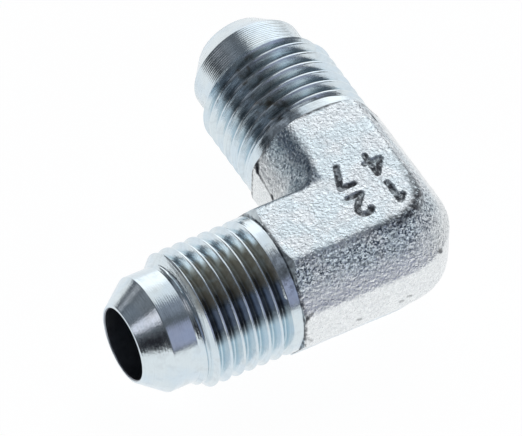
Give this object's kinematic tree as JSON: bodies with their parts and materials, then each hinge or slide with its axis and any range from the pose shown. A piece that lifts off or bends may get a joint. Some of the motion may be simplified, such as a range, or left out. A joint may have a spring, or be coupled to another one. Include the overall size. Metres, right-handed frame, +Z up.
{
  "type": "hydraulic elbow adapter",
  "caption": "Forged right-angle hydraulic adapter: an octagonal elbow body whose male threaded legs end in conical flare seats, with a bore drilled from end to end.",
  "frame": {"origin": "where the axes of the two bores cross, half way between the upper and lower flats", "axes": "leg A points along -X and leg B along +Y; +Z is up, square to both legs and out of the upper wrench flat"},
  "size_m": [0.0353, 0.0353, 0.0142],
  "materials": {
    "zinc_plated_steel": "pale blue zinc plate: rough forged skin on the body, bright turned ends"
  },
  "bodies": {
    "root": {"elbow_body": "zinc_plated_steel"}
  },
  "joints": []
}
